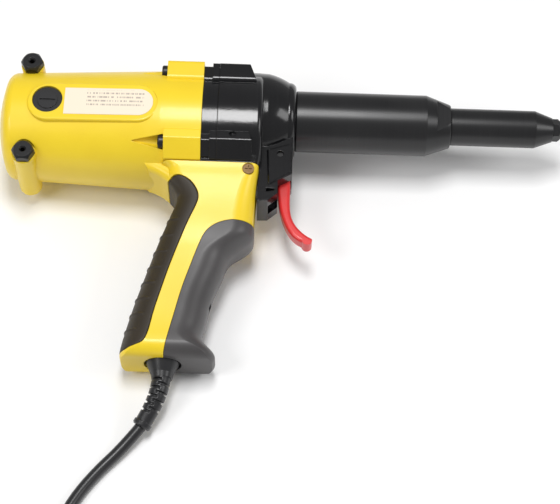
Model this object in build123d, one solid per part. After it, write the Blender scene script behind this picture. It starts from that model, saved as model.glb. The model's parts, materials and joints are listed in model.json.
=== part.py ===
from build123d import *
import math
import os

# Corded electric blind-rivet gun, lying on its left side as it is put down on a bench.
# Every part is drawn in the tool's own frame: +X towards the nose along the pull axis,
# +Y to the left, +Z up, away from the handle. lay_down() then places it, with +Z off the bench.

# Motor and housing
MOTOR_Z = -10.0            # motor axis below the pull axis
HOUSING_REAR = -172.3
BORE_REAR = -163.5
HOUSING_FRONT = -49.0
FLANGE_REAR = -73.5
REAR_RADIUS = 32.5
FLANGE_RADIUS = 36.5
WALL = 2.6
SCREW_Y = 27.0             # the four housing screws
SCREW_TOP_Z = 15.6
SCREW_LOW_Z = -32.5
SCREW_RADIUS = 2.5
LUG_REAR = -71.0
LUG_SIDE_Y = 33.4
BRUSH_X = -141.0
PANEL_HALF = 12.6          # the raised stadium on each side
PANEL_Z = -11.2
PANEL_REAR = -153.0
PANEL_FRONT = -74.5
PLATE_THICKNESS = 9.3
SPARE_PLACES = ((-154.0, 21.6), (-153.9, -39.7))
SPARE_BOSS_RADIUS = 6.9

# Handle
HANDLE_TOP_Z = -42.5
PAD_DEPTH = 2.8
SKIN = 3.0
SEAM = 0.25
GLAND_X = -64.8
PLATE_SCREW = (-20.3, -46.2)

# Gear case and train
CASE_REAR = -39.7
CASE_FRONT = -13.0
BULB_FRONT = 6.8
MOTOR_MODULE = 0.8
SPINDLE_MODULE = 1.0
PINION_TEETH = 9
IDLER_TEETH = 34
IDLER_PINION_TEETH = 12
NUT_TEETH = 39
PRESSURE = math.radians(25)
BACKLASH = 0.16
ADDENDUM = 0.7
DEDENDUM = 1.15
SHAFT_RADIUS = 4.0
IDLER_SHAFT_RADIUS = 3.0
RUNNING = 0.05             # radial clearance of a running fit
GAP = 0.3

# Pull unit and barrel
SCREW_ROD_RADIUS = 6.0
BARREL_RADIUS = 18.6
BARREL_BORE = 13.0
CONE_REAR = 86.3
CONE_FRONT = 101.3
CONE_RADIUS = 13.4
FLAT_HALF = 12.5           # the cone has two spanner flats
SLEEVE_RADIUS = 11.4
SLEEVE_BORE = 8.6
TAPER_REAR = 153.2
NOSE_SEAT = 164.0
TAPER_RADIUS = 7.4
NOSE_HEX = 12.0
NOSE_LENGTH = 5.6
MANDREL_RADIUS = 1.65
THREAD_RADIUS = 4.0        # nosepieces screw in with an M8 thread

# Trigger
PIVOT_X = -1.8
PIVOT_Z = -31.0
PIN_RADIUS = 2.0
BRACKET_HALF = 13.0
SLOT_HALF = 5.2

# Cord, laid out in the placed frame, where Z is the height above the bench
CORD_RADIUS = 3.35
RELIEF_RADIUS = 5.2
COIL_INNER = 27.2          # radius of the innermost turn
COIL_TURNS = 4             # in the lower of two layers
COIL_PITCH = 6.8
COIL_LOW = 4.2             # height of the lower layer's centre line
COIL_CENTRE = (-174.0, -252.0)
TIE_ANGLE = 200.0
TIE_WIDTH = 7.0
PLUG_FACE = 47.0
PIN_LENGTH = 19.0
PLUG_PIN_RADIUS = 2.4
RELIEF_ROUTE = ((-63.45, -101.0, 16.5), (-63.8, -107.8, 16.2), (-65.6, -115.5, 14.4), (-69.0, -123.1, 11.2),
                (-73.9, -131.2, 8.0))
CORD_TO_COIL = ((-73.9, -131.2, 8.0), (-83.5, -143.6, 4.6), (-97.0, -158.5, 3.4), (-108.5, -176.0, 3.4),
                (-116.5, -197.0, 3.5), (-119.5, -222.0, 3.8), (-119.6, -252.0, 4.2))
CORD_TO_PLUG = ((-174.0, -199.3, 11.0), (-152.0, -198.6, 11.6), (-130.0, -199.8, 12.0), (-108.5, -205.0, 11.6),
                (-89.0, -216.0, 6.6), (-73.5, -231.5, 4.0), (-63.5, -249.0, 6.4), (-58.5, -266.0, 11.0))

# Resting on the left side: the housing's left flank and the foot's left edge both touch the bench
FLANK_RADIUS = 36.9        # about the motor axis, panel included
FOOT_EDGE_Y = 10.3         # centre of the foot's rounded left edge
FOOT_EDGE_Z = -155.6
FOOT_EDGE_RADIUS = 8.0
HANDLE_END_Z = FOOT_EDGE_Z - FOOT_EDGE_RADIUS
FOOT_HALF = FOOT_EDGE_Y + FOOT_EDGE_RADIUS
LEAN = math.degrees(math.asin((FLANK_RADIUS - FOOT_EDGE_RADIUS) / math.hypot(FOOT_EDGE_Y, MOTOR_Z - FOOT_EDGE_Z))
                    - math.atan2(FOOT_EDGE_Y, MOTOR_Z - FOOT_EDGE_Z))
STANDING = (Align.CENTER, Align.CENTER, Align.MIN)


def along_x(x0, x1, radius, y=0.0, z=0.0):
    return Pos((x0 + x1) / 2, y, z) * Rot(0, 90, 0) * Cylinder(radius, x1 - x0)


def along_y(y0, y1, radius, x, z):
    return Pos(x, (y0 + y1) / 2, z) * Rot(90, 0, 0) * Cylinder(radius, y1 - y0)


def ring(x0, x1, outer, inner, y=0.0, z=0.0):
    return along_x(x0, x1, outer, y, z) - along_x(x0 - 1, x1 + 1, inner, y, z)


def block(x0, x1, y0, y1, z0, z1):
    return Pos((x0 + x1) / 2, (y0 + y1) / 2, (z0 + z1) / 2) * Box(x1 - x0, y1 - y0, z1 - z0)


def turned(outline, z=0.0):
    """Solid of revolution about the X direction from (x, radius) points."""
    face = Plane.XZ * make_face(Polyline(*outline, close=True))
    return Pos(0, 0, z) * revolve(face, Axis.X)


def side_plate(face, y0, y1):
    """Extrude a face drawn in (x, z) from y0 to y1."""
    return Pos(0, y1, 0) * extrude(Plane.XZ * face, amount=y1 - y0)


def mirrored(shape):
    return mirror(shape, about=Plane.XZ)


def both_sides(shape):
    return shape + mirrored(shape)


def hexagon(x0, x1, across_flats, y=0.0, z=0.0):
    face = Plane.YZ.offset(x0) * RegularPolygon(across_flats / 2, 6, major_radius=False)
    return Pos(0, y, z) * extrude(face, amount=x1 - x0)


# ---------------------------------------------------------------- handle body

HANDLE_STATIONS = (        # height, rear, front, half width, corner radius
    (HANDLE_TOP_Z, -72.0, -14.4, 22.8, 5.0),
    (-49.4, -67.5, -15.0, 22.0, 7.5),
    (-56.5, -63.6, -15.5, 21.2, 9.5),
    (-62.5, -62.0, -15.7, 20.5, 11.0),
    (-70.4, -64.5, -15.8, 19.8, 12.5),
    (-79.0, -67.9, -15.6, 19.2, 13.5),
    (-85.5, -70.3, -16.6, 18.7, 14.0),
    (-90.5, -72.1, -22.0, 18.2, 14.5),
    (-97.0, -74.2, -29.0, 17.8, 15.0),
    (-107.2, -77.2, -33.0, 17.4, 15.0),
    (-118.5, -80.5, -37.1, 17.2, 15.0),
    (-130.3, -83.7, -40.2, 17.2, 15.0),
    (-141.1, -86.3, -42.3, 17.4, 15.0),
    (-149.5, -88.0, -43.0, 17.9, 15.0),
    (-155.0, -88.9, -38.6, 18.3, 15.0),
    (-160.0, -89.5, -35.0, 18.3, 14.5),
    (HANDLE_END_Z, -88.5, -36.6, 18.3, 14.0),
)


def grip(inset):
    """Rounded sections from the shoulder down to the flared foot; the deep, hidden cavity runs straight between."""
    low, high = HANDLE_END_Z + inset, HANDLE_TOP_Z - inset
    between = [station for station in HANDLE_STATIONS[1:-1] if low + 0.5 < station[0] < high - 0.5]
    sections = []
    for z, rear, front, half, corner in (HANDLE_STATIONS[0], *between, HANDLE_STATIONS[-1]):
        height = min(max(z, low), high)
        outline = RectangleRounded(front - rear - 2 * inset, 2 * (half - inset), corner - 0.8 * inset)
        sections.append(Pos((front + rear) / 2, 0, height) * outline)
    return loft(sections, ruled=inset > PAD_DEPTH + 1)


def foot_limit(inset):
    """Front view of the handle with its rounded lower edges, extruded along the tool."""
    half = 30 - inset
    low = HANDLE_END_Z + inset
    edge_y = FOOT_EDGE_Y
    radius = FOOT_EDGE_RADIUS - inset
    side = edge_y + radius
    slant = radius * math.sin(math.radians(45))
    outline = Line((-half, -30), (-half, -140)) + Line((-half, -140), (-side, FOOT_EDGE_Z))
    outline += ThreePointArc((-side, FOOT_EDGE_Z), (-edge_y - slant, FOOT_EDGE_Z - slant), (-edge_y, low))
    outline += Line((-edge_y, low), (edge_y, low))
    outline += ThreePointArc((edge_y, low), (edge_y + slant, FOOT_EDGE_Z - slant), (side, FOOT_EDGE_Z))
    outline += Line((side, FOOT_EDGE_Z), (half, -140)) + Line((half, -140), (half, -30))
    outline += Line((half, -30), (-half, -30))
    return Pos(-100, 0, 0) * extrude(Plane.YZ * make_face(outline), amount=100)


def web(inset):
    """Concave throat where the hand closes behind the housing."""
    edge = inset * 0.9
    outline = Line((-84, -40), (-79.5 + edge, -45.5)) + ThreePointArc(
        (-79.5 + edge, -45.5), (-68.5 + edge, -52.0 + edge * 0.3), (-62.3 + edge, -61))
    outline += Line((-62.3 + edge, -61), (-50, -61)) + Line((-50, -61), (-50, -40)) + Line((-50, -40), (-84, -40))
    body = side_plate(make_face(outline), -17.5 + inset, 17.5 - inset)
    if inset == 0:
        body = fillet(body.edges().filter_by(GeomType.CIRCLE), 5.0)
    return body


def handle_body(inset):
    return grip(inset) & foot_limit(inset)


def handle_form(inset):
    return handle_body(inset) + web(inset)


def cover_region(grow):
    """Area of the front cover in side view, in front of its seam with the yellow body."""
    top = -78.2 + grow
    outline = Line((0, top), (-27.8, top - 0.5))
    outline += Spline((-27.8, top - 0.5), (-34.2, top - 1.8), (-39.4 - grow * 0.4, -82.6 + grow * 0.8),
                      (-43.5 - grow * 0.8, -86.7 + grow * 0.5), (-46.4 - grow, -92.8), (-51.0 - grow, -107.2),
                      (-55.4 - grow, -122.5), (-58.7 - grow, -137.6), (-61.5 - grow, -151), (-63.6 - grow, -162))
    outline += Line((-63.6 - grow, -162), (-65.6 - grow, -180)) + Line((-65.6 - grow, -180), (0, -180))
    outline += Line((0, -180), (0, top))
    return side_plate(make_face(outline), -30, 30)


def pad_region(grow):
    """Area of the rubber pad in side view, behind its seam with the yellow body."""
    outline = Line((-100, -60.5 + grow), (-71.5, -57.6 + grow))
    outline += ThreePointArc((-71.5, -57.6 + grow), (-70.1, -54.5 + grow), (-67.0, -52.3 + grow))
    outline += Spline((-67.0, -52.3 + grow), (-63.3, -51.1 + grow), (-58.3 + grow * 0.5, -52.2 + grow * 0.9),
                      (-53.8 + grow * 0.8, -55.1 + grow * 0.6), (-50.3 + grow, -59.9), (-49.0 + grow, -64.1),
                      (-49.8 + grow, -69.0), (-52.7 + grow, -76.4), (-59.2 + grow, -94.7), (-63.6 + grow, -109.0),
                      (-67.9 + grow, -125.5), (-71.6 + grow, -141.7), (-74.0 + grow, -153.2 - grow * 0.5),
                      (-75.8 + grow * 0.7, -156.6 - grow * 0.7), (-80.4, -158.8 - grow), (-85.4, -160.4 - grow))
    outline += Line((-85.4, -160.4 - grow), (-100, -161.4 - grow))
    outline += Line((-100, -161.4 - grow), (-100, -60.5 + grow))
    return side_plate(make_face(outline), -30, 30)


def rear_grip_pad():
    return (handle_form(0) & pad_region(0)) - handle_form(PAD_DEPTH) - motor_barrel(0.1)


def handle_cover():
    skin = (handle_form(0) & cover_region(0)) - handle_form(SKIN)
    notch = block(-45, -39.2, -3, 3, -129.0, -124.4)
    return skin - notch - gland_hole(0.15)


def gland_hole(clearance):
    return Pos(GLAND_X, 0, -161) * Cylinder(10.6 + clearance, 30)


# ---------------------------------------------------------------- motor housing

def motor_barrel(grow):
    """Outer form of the motor housing, a slightly tapered round barrel with a domed end."""
    rear, edge, front = HOUSING_REAR - grow, HOUSING_REAR + 10, HOUSING_FRONT
    outline = ThreePointArc((rear, 0), (rear + 1.2, 14), (rear + 4.8, 28 + grow))
    outline += ThreePointArc((rear + 4.8, 28 + grow), (rear + 6.6, 30.9 + grow), (edge, REAR_RADIUS + grow))
    outline += Line((edge, REAR_RADIUS + grow), (FLANGE_REAR, FLANGE_RADIUS + grow))
    outline += Line((FLANGE_REAR, FLANGE_RADIUS + grow), (front, FLANGE_RADIUS + grow))
    outline += Line((front, FLANGE_RADIUS + grow), (front, 0)) + Line((front, 0), (rear, 0))
    return Pos(0, 0, MOTOR_Z) * revolve(Plane.XZ * make_face(outline), Axis.X)


def barrel_radius(x):
    share = (x - HOUSING_REAR - 10) / (FLANGE_REAR - HOUSING_REAR - 10)
    return REAR_RADIUS + (FLANGE_RADIUS - REAR_RADIUS) * min(max(share, 0), 1)


def stadium(x0, x1, half, y0, y1, z):
    face = Pos((x0 + x1) / 2, z) * SlotOverall(x1 - x0, 2 * half)
    return side_plate(face, y0, y1)


def panel_faces():
    """Distance of the panel's flat face from the middle, at its rear and front ends."""
    return -(barrel_radius(PANEL_REAR) + 0.6), -(barrel_radius(PANEL_FRONT) - 0.7)


def panel_wedge(inner_y, outward):
    """Space between inner_y and the panel's face, or beyond the face when outward is set."""
    rear_y, front_y = panel_faces()
    far_y = -60 if outward else inner_y
    outline = Polyline((PANEL_REAR - 5, far_y), (PANEL_REAR - 5, rear_y), (PANEL_FRONT + 5, front_y),
                       (PANEL_FRONT + 5, far_y), close=True)
    return Pos(0, 0, -60) * extrude(make_face(outline), amount=120)


def side_panel():
    """Raised flat island on the right side, which holds the brush cap and the label."""
    island = stadium(PANEL_REAR, PANEL_FRONT, PANEL_HALF, -45, -20, PANEL_Z) & panel_wedge(-10, False)
    return fillet(island.faces().sort_by(Axis.Y)[0].edges(), 1.1)


def panel_flat():
    """Space beyond the panel's flat face, used to face off the barrel inside the island."""
    return panel_wedge(0, True) & stadium(PANEL_REAR + 1, PANEL_FRONT - 1, PANEL_HALF - 1, -60, -20, PANEL_Z)


def screw_lugs(x0, x1, shrink):
    """Four corner lugs along the screw axes, from x0 to x1."""
    side = LUG_SIDE_Y - shrink
    top = block(x0, x1, -side, -19, 7.6, 21.0 - shrink)
    top = fillet(top.edges().filter_by(Axis.X), 2.6)
    outline = Polyline((-17, -41.9 + shrink), (-23.5, -41.9 + shrink), (-side, -33.0), (-side, -26.4 - shrink),
                       (-17, -26.4 - shrink), close=True)
    low = extrude(Plane.YZ.offset(x0) * make_face(outline), amount=x1 - x0)
    low = fillet(low.edges().filter_by(Axis.X).sort_by(Axis.Y)[:3], 1.2)
    return both_sides(top + low)


def screw_scoop(z):
    """Tapered recess behind a lug, which lets the screwdriver reach the screw."""
    cone = turned(((LUG_REAR - 19, 0), (LUG_REAR - 19, 0.5), (LUG_REAR - 1, 4.7), (LUG_REAR, 4.7), (LUG_REAR, 0)), z)
    return both_sides(Pos(0, -SCREW_Y, 0) * cone)


def scoop_backing(z):
    """Thicker wall inside the housing behind a recess."""
    return both_sides(along_x(LUG_REAR - 19, LUG_REAR + 4, 8.0, -SCREW_Y, z) & motor_barrel(-1.0)) - along_x(
        LUG_REAR - 20, LUG_REAR + 5, 29.7, z=MOTOR_Z)


def spare_boss(x, z, y0, y1):
    body = along_y(y0, y1, SPARE_BOSS_RADIUS, x, z)
    return fillet(body.edges().sort_by(Axis.Y)[-1], 2.5)


def motor_housing():
    outer = motor_barrel(0) + both_sides(side_panel())
    outer = outer - panel_flat() - mirrored(panel_flat())
    outer = outer + screw_lugs(LUG_REAR, HOUSING_FRONT, 0)
    for x, z in SPARE_PLACES:
        outer += spare_boss(x, z, -20, 22)
    handle = handle_form(0) - cover_region(SEAM)
    handle = (handle - pad_region(SEAM)) + (handle_form(PAD_DEPTH + 0.1) & pad_region(SEAM))
    cavity = handle_body(PAD_DEPTH + SKIN)
    bore = turned(((BORE_REAR, 0), (BORE_REAR, 26.0), (BORE_REAR + 6, REAR_RADIUS - WALL),
                   (FLANGE_REAR, FLANGE_RADIUS - WALL - 0.6), (HOUSING_FRONT + 1, FLANGE_RADIUS - WALL - 0.6),
                   (HOUSING_FRONT + 1, 0)), MOTOR_Z)
    shell = (outer + handle) - cavity - bore
    shell -= block(HOUSING_FRONT, -5, -40, 40, HANDLE_TOP_Z, 40)
    shell += ring(BORE_REAR - 0.5, -151.2, 13.6, 11.0 + RUNNING, z=MOTOR_Z)
    shell += both_sides(along_y(-31.5, -16.5, 10.6, BRUSH_X, MOTOR_Z) & motor_barrel(-0.5))
    shell -= along_y(-60, 60, 9.0, BRUSH_X, MOTOR_Z)
    for z in (SCREW_TOP_Z, SCREW_LOW_Z):
        shell += scoop_backing(z)
        shell -= both_sides(along_x(LUG_REAR - 2, HOUSING_FRONT + 1, SCREW_RADIUS + 0.2, -SCREW_Y, z))
        shell -= screw_scoop(z)
    for x, z in SPARE_PLACES:
        shell -= along_y(-21, -9, THREAD_RADIUS + 0.05, x, z) + along_y(-40, -20, 7.4, x, z)
    return shell - gland_hole(0.15) - plate_screw_hole() - switch_pocket()


def plate_screw_hole():
    return along_y(-25, -12, 1.8, *PLATE_SCREW) + along_y(-25, -20.7, 3.6, *PLATE_SCREW)


def switch_pocket():
    return block(-46, -10, -9.6, 9.6, -81.0, -43.5)


# ---------------------------------------------------------------- motor

def stator_core():
    core = ring(-120, -76, 29.2, 19.6, z=MOTOR_Z)
    for sign in (-1, 1):
        core -= Pos(-98, 0, MOTOR_Z + sign * 29.8) * Box(60, 7, 5)
    return core


def stator_coils():
    coils = Part()
    for sign in (-1, 1):
        for x0, x1 in ((-128.8, -120.2), (-75.8, -67.6)):
            end = ring(x0, x1, 27.6, 20.2, z=MOTOR_Z)
            side = block(x0 - 1, x1 + 1, -30, 30, MOTOR_Z + 3, MOTOR_Z + 40)
            if sign < 0:
                side = block(x0 - 1, x1 + 1, -30, 30, MOTOR_Z - 40, MOTOR_Z - 3)
            coils += end & side
    return coils


def armature_core():
    core = ring(-118, -78, 19.0, SHAFT_RADIUS, z=MOTOR_Z)
    for index in range(12):
        angle = 30 * index
        core -= Pos(0, 0, MOTOR_Z) * Rot(angle, 0, 0) * block(-119, -77, -1.1, 1.1, 14.5, 20)
    return core


def armature_windings():
    rear = turned(((-134, 4), (-134, 9), (-127, 16.5), (-118, 16.8), (-118, 4)), MOTOR_Z)
    front = turned(((-78, 4), (-78, 16.8), (-71, 16.5), (-66, 9), (-66, 4)), MOTOR_Z)
    return rear + front


def commutator():
    body = ring(-148, -134.5, 11.6, SHAFT_RADIUS, z=MOTOR_Z)
    for index in range(24):
        body -= Pos(0, 0, MOTOR_Z) * Rot(15 * index, 0, 0) * block(-149, -136.5, -0.3, 0.3, 10.6, 12)
    return body


def cooling_fan():
    hub = ring(-58, -50.5, 8, SHAFT_RADIUS, z=MOTOR_Z) + ring(-58.5, -57, 30.5, SHAFT_RADIUS, z=MOTOR_Z)
    for index in range(18):
        hub += Pos(0, 0, MOTOR_Z) * Rot(20 * index, 0, 0) * block(-57.5, -49.6, -0.8, 0.8, 17, 30.4)
    return hub


def motor_shaft(train):
    shaft = along_x(-158.5, -39.2, SHAFT_RADIUS, z=MOTOR_Z)
    return shaft + train["pinion"]


def sealed_bearing(x0, x1, outer, inner, z=0.0):
    """Ball bearing with its seals set back between the two races."""
    race = (outer - inner) * 0.28
    bearing = ring(x0, x1, outer, inner, z=z)
    for side in (x0 - 1, x1 - 0.5):
        bearing -= ring(side, side + 1.5, outer - race, inner + race, z=z)
    return bearing


def brush_cap():
    cap = along_y(-32.6, -31.0, 8.85, BRUSH_X, MOTOR_Z) + along_y(-33.4, -31.0, 5.9, BRUSH_X, MOTOR_Z)
    cap += along_y(-31.0, -19.0, 7.0, BRUSH_X, MOTOR_Z) - along_y(-29.0, -18.0, 5.6, BRUSH_X, MOTOR_Z)
    return cap - block(BRUSH_X - 4.6, BRUSH_X + 4.6, -34, -32.5, MOTOR_Z - 0.5, MOTOR_Z + 0.5)


def brush_holder():
    body = along_y(-28.8, -14.0, 5.5, BRUSH_X, MOTOR_Z)
    return body - block(BRUSH_X - 3.1, BRUSH_X + 3.1, -30, -13, MOTOR_Z - 2.6, MOTOR_Z + 2.6)


def carbon_brush():
    body = block(BRUSH_X - 3.0, BRUSH_X + 3.0, -22.5, -11.0, MOTOR_Z - 2.5, MOTOR_Z + 2.5)
    return body - along_x(-150, -130, 11.7, z=MOTOR_Z)


def brush_spring():
    path = Pos(BRUSH_X, -28.5, MOTOR_Z) * Rot(-90, 0, 0) * Helix(pitch=1.4, height=5.6, radius=1.7)
    return sweep(Plane(path @ 0, z_dir=path % 0) * Circle(0.3), path=path)


# ---------------------------------------------------------------- gear case

def rounded_disc(x0, x1, radius, corner, z=0.0):
    disc = along_x(x0, x1, radius, z=z)
    if corner > 0:
        disc = fillet(disc.edges().sort_by(Axis.X)[-1], corner)
    return disc


def case_outline(x0, x1, shrink, corner=0.0):
    """Round gear-case body with a flat underside."""
    body = rounded_disc(x0, x1, FLANGE_RADIUS - 0.9 - shrink, corner, MOTOR_Z)
    body += rounded_disc(x0, x1, 28.9 - shrink, corner)
    low = block(x0, x1 - corner, -22.5 + shrink, 22.5 - shrink, HANDLE_TOP_Z + 0.3, -20)
    return (body + low) & block(x0, x1, -50, 50, HANDLE_TOP_Z + 0.3, 50)


def middle_plate(idler):
    iy, iz = idler
    face_x = CASE_REAR - PLATE_THICKNESS
    body = case_outline(face_x, CASE_REAR, 0.4) + (screw_lugs(face_x + 5.2, CASE_REAR, 0.5)
                                                    & block(-60, 0, -50, 50, HANDLE_TOP_Z + 0.3, 50))
    body += screw_lugs(face_x, face_x + 6, 2.0) & block(-60, 0, -50, 50, HANDLE_TOP_Z + 0.3, 50)
    body -= along_x(face_x - 1, face_x + 3.6, 32.2, z=MOTOR_Z)
    for sign in (-1, 1):
        body -= block(face_x - 1, face_x + 4.4, 24 if sign > 0 else -45, 45 if sign > 0 else -24, -16, 8)
    body -= along_x(CASE_REAR - 6.9, CASE_REAR + 1, 11.02, z=MOTOR_Z)
    body -= along_x(face_x - 1, CASE_REAR, 6.0, z=MOTOR_Z)
    body -= along_x(CASE_REAR - 5.5, CASE_REAR + 1, 5.0, iy, iz)
    body -= along_x(CASE_REAR - 2.4, CASE_REAR + 1, 7.4)
    for z in (SCREW_TOP_Z, SCREW_LOW_Z):
        body -= both_sides(along_x(face_x - 1, CASE_REAR + 1, SCREW_RADIUS + 0.2, -SCREW_Y, z))
    return body


def gear_case(idler):
    iy, iz = idler
    trim = block(-60, 20, -50, 50, HANDLE_TOP_Z + 0.3, 50)
    body = case_outline(CASE_REAR + 0.1, CASE_FRONT, 0, 3.0)
    top = screw_lugs(CASE_REAR + 0.1, -14.0, 0.4) & trim & block(-60, 0, -50, 50, 0, 50)
    slope = Polyline((-23.5, 25), (-17.2, 8), (-17.2, 0), (-10, 0), (-10, 25), close=True)
    top -= side_plate(make_face(slope), -50, 50)
    low = screw_lugs(CASE_REAR + 0.1, -18.9, 0.4) & trim & block(-60, 0, -50, 50, -60, 0)
    slope = Polyline((-21.1, -24), (-21.1, -26.6), (-18.9, -33), (-15, -33), (-15, -24), close=True)
    low -= side_plate(make_face(slope), -50, 50)
    body += top + low
    nose = Line((CASE_FRONT - 4, 0), (CASE_FRONT - 4, 28.9)) + Line((CASE_FRONT - 4, 28.9), (-10, 28.5))
    nose += ThreePointArc((-10, 28.5), (-3.2, 26.4), (2.4, 23.5))
    nose += ThreePointArc((2.4, 23.5), (5.6, 22.4), (BULB_FRONT, 20.3))
    nose += Line((BULB_FRONT, 20.3), (BULB_FRONT, 0)) + Line((BULB_FRONT, 0), (CASE_FRONT - 4, 0))
    body += revolve(Plane.XZ * make_face(nose), Axis.X)
    body += bracket_form()
    inside = along_x(CASE_REAR - 1, -24.2, 32.4, z=MOTOR_Z) & block(-60, 0, -50, 50, -37.5, 50)
    body -= inside
    body -= along_x(-24.4, -8.9, 18.5 + 0.02)
    body -= along_x(-10, BULB_FRONT + 1, 14.5) + along_x(-2.2, BULB_FRONT + 1, 16.05)
    body -= along_x(-25, -19.5, 5.0, iy, iz)
    for z in (SCREW_TOP_Z, SCREW_LOW_Z):
        body -= both_sides(along_x(CASE_REAR - 1, -22, SCREW_RADIUS + 0.02, -SCREW_Y, z))
    body -= along_y(-40, -30.0, 2.1, -30.2, -29.0)
    body -= trigger_room()
    return body


def bracket_form():
    """Cast bracket under the nose that carries the trigger."""
    outline = Polyline((-14.6, -20), (-14.6, -62.4), (-8.6, -62.2), (-2.6, -56.9), (-2.8, -48.6), (5.6, -43.6),
                       (5.6, -14), (-6, -14), close=True)
    body = side_plate(make_face(outline), -BRACKET_HALF, BRACKET_HALF)
    raised = Polyline((-9.8, -28.2), (5.0, -23.3), (5.1, -43.5), (-8.5, -51.9), close=True)
    cheek = side_plate(make_face(raised), -BRACKET_HALF - 1.4, -BRACKET_HALF + 1)
    cheek = chamfer(cheek.faces().sort_by(Axis.Y)[0].edges(), 0.8)
    return body + both_sides(cheek) - Pos(GAP, 0, 0) * handle_form(0)


def trigger_room():
    """Slot for the trigger, pin holes and the space for the switch plunger."""
    slot = block(-8.2, 12, -SLOT_HALF, SLOT_HALF, -72, -23.0)
    slot += block(-16, -8.0, -4.0, 4.0, -56.3, -43.3)
    slot += along_y(-20, 20, PIN_RADIUS + 0.02, PIVOT_X, PIVOT_Z)
    slot += block(-9.8, -4.7, -20, -5, -56.0, -53.8)
    return slot


# ---------------------------------------------------------------- gears

def involute(angle):
    return math.tan(angle) - angle


def gear_face(teeth, module, turn):
    """Flat gear outline with involute flanks; one tooth points along the angle turn."""
    pitch_r = module * teeth / 2
    base_r = pitch_r * math.cos(PRESSURE)
    tip_r = pitch_r + ADDENDUM * module
    root_r = pitch_r - DEDENDUM * module
    half_tooth = math.pi / (2 * teeth) - BACKLASH / (2 * pitch_r)
    start = max(root_r + 0.01, base_r)
    flank = []
    for share in (0.0, 0.35, 0.7, 1.0):
        radius = start + (tip_r - start) * share
        angle = half_tooth + involute(PRESSURE) - involute(math.acos(min(1, base_r / radius)))
        flank.append((radius, angle))
    flank.insert(0, (root_r, flank[0][1] * 1.04))
    points = []
    for tooth in range(teeth):
        centre = turn + 2 * math.pi * tooth / teeth
        for radius, angle in flank:
            points.append((radius * math.cos(centre - angle), radius * math.sin(centre - angle)))
        for radius, angle in reversed(flank):
            points.append((radius * math.cos(centre + angle), radius * math.sin(centre + angle)))
    return make_face(Polyline(*points, close=True))


def gear(x0, x1, teeth, module, turn, y=0.0, z=0.0):
    face = Plane.YZ.offset(x0) * gear_face(teeth, module, turn)
    return Pos(0, y, z) * extrude(face, amount=x1 - x0)


def idler_place():
    """Centre of the idler shaft from the two centre distances."""
    motor_gap = MOTOR_MODULE * (PINION_TEETH + IDLER_TEETH) / 2
    spindle_gap = SPINDLE_MODULE * (IDLER_PINION_TEETH + NUT_TEETH) / 2
    z = (spindle_gap ** 2 - motor_gap ** 2 + MOTOR_Z ** 2) / (2 * MOTOR_Z)
    return math.sqrt(spindle_gap ** 2 - z ** 2), z


def gear_train(idler):
    iy, iz = idler
    to_idler = math.atan2(iz - MOTOR_Z, iy)
    to_nut = math.atan2(-iz, -iy)
    pinion = gear(-39.4, -33.2, PINION_TEETH, MOTOR_MODULE, to_idler, z=MOTOR_Z)
    wheel = gear(-38.6, -33.8, IDLER_TEETH, MOTOR_MODULE, to_idler + math.pi + math.pi / IDLER_TEETH, iy, iz)
    small = gear(-34.0, -24.6, IDLER_PINION_TEETH, SPINDLE_MODULE, to_nut, iy, iz)
    nut_turn = to_nut + math.pi + math.pi / NUT_TEETH
    nut = gear(-32.6, -25.2, NUT_TEETH, SPINDLE_MODULE, nut_turn)
    nut += along_x(-25.4, -8.7, 12.5)
    nut -= along_x(-34, -7, SCREW_ROD_RADIUS + RUNNING)
    shaft = along_x(-45.0, -19.7, IDLER_SHAFT_RADIUS, iy, iz)
    idler_wheel = wheel + small - along_x(-50, -15, IDLER_SHAFT_RADIUS, iy, iz)
    return {"pinion": pinion, "idler_gear": idler_wheel, "idler_shaft": shaft, "drive_nut": nut}


# ---------------------------------------------------------------- pull unit, barrel and nose

def pull_screw():
    return turned(((-18.5, 2.3), (-18.5, 5.4), (-12.9, 5.4), (-12.3, SCREW_ROD_RADIUS), (20, SCREW_ROD_RADIUS),
                   (20.6, 5.4), (97, 5.4), (97, 6.6), (113, 6.6), (113, 2.3)))


def jaw_case():
    return turned(((104, 6.7), (104, 8.45), (147.5, 8.45), (150, 7.0), (150, 3.6), (139.5, 6.4), (113, 6.4),
                   (113, 6.7)))


def jaw_lock_nut():
    return hexagon(99.2, 103.7, 14.4) - along_x(99, 104, 6.7)


def jaw(index):
    body = turned(((139.8, 2.0), (139.8, 6.1), (149.6, 3.3), (149.6, 2.0)))
    wedge = Polyline((0, 0.3), (12, 6.9), (12, 12), (-12, 12), (-12, 6.9), close=True)
    sector = Plane.YZ.offset(139) * make_face(wedge)
    return Rot(120 * index, 0, 0) * (body & extrude(sector, amount=12))


def jaw_pusher():
    return turned(((131.5, 2.2), (131.5, 5.6), (136.0, 5.6), (139.4, 4.4), (139.4, 2.2)))


def jaw_spring():
    path = Pos(113.9, 0, 0) * Rot(0, 90, 0) * Helix(pitch=2.6, height=16.4, radius=4.6)
    return sweep(Plane(path @ 0, z_dir=path % 0) * Circle(0.55), path=path)


def mandrel_tube():
    return ring(-18.0, 131.0, 2.0, 1.75)


def barrel():
    tube = turned(((-2, 13.0), (-2, 16.0), (BULB_FRONT + 0.1, 16.0), (BULB_FRONT + 0.1, BARREL_RADIUS - 0.5),
                   (BULB_FRONT + 0.7, BARREL_RADIUS), (CONE_REAR, BARREL_RADIUS), (CONE_FRONT - 0.6, CONE_RADIUS),
                   (CONE_FRONT, CONE_RADIUS - 0.5), (CONE_FRONT, 10.0), (84, 10.0), (84, BARREL_BORE)))
    return tube - both_sides(block(92.6, CONE_FRONT + 1, -30, -FLAT_HALF, -30, 30))


def guide_bush():
    return ring(-1.5, 7.5, BARREL_BORE - 0.02, SCREW_ROD_RADIUS + RUNNING)


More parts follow.
